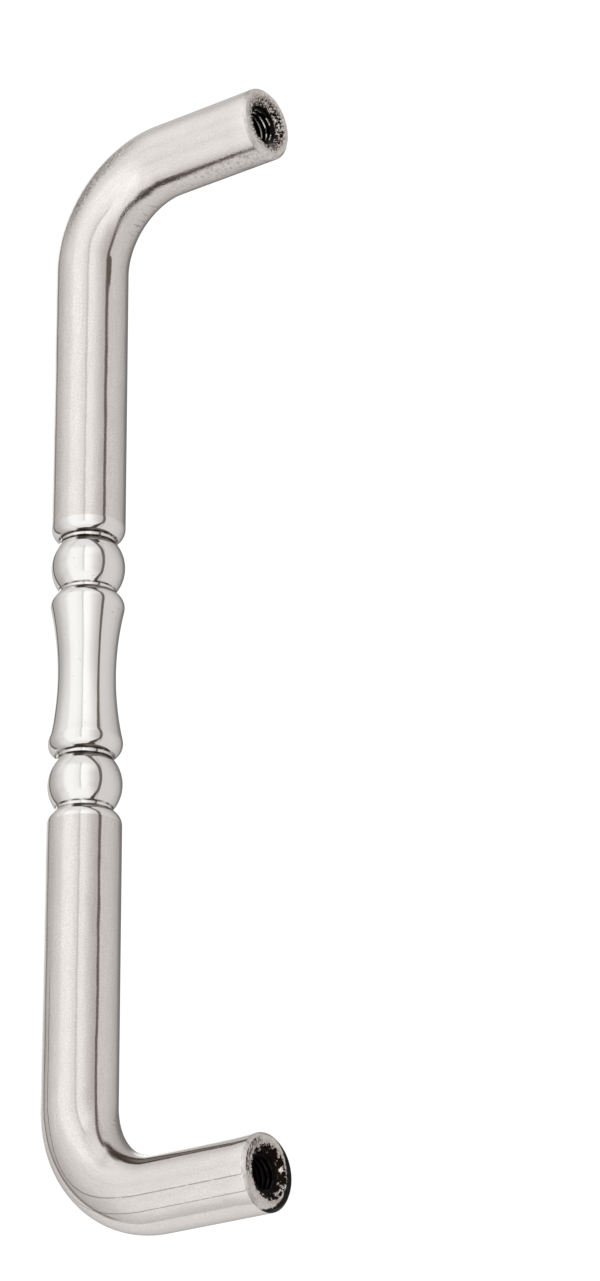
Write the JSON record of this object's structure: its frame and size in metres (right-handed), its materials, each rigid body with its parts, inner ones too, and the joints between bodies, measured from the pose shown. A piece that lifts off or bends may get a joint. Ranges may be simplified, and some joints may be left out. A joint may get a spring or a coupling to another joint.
{
  "type": "cabinet handle",
  "caption": "Bow handle bent from a round stainless bar, with a waisted barrel between two beads turned in its middle and a tapped hole in each end face.",
  "frame": {"origin": "midway between the two screw holes, on the plane of the end faces, which is the face of the door", "axes": "+Y from the bar towards the door, out of the mouths of the screw holes; +Z along the bar; +X sideways"},
  "size_m": [0.01, 0.0355, 0.155],
  "materials": {
    "stainless": "satin, polished on the turned middle"
  },
  "bodies": {
    "root": {"handle": "stainless"}
  },
  "joints": []
}
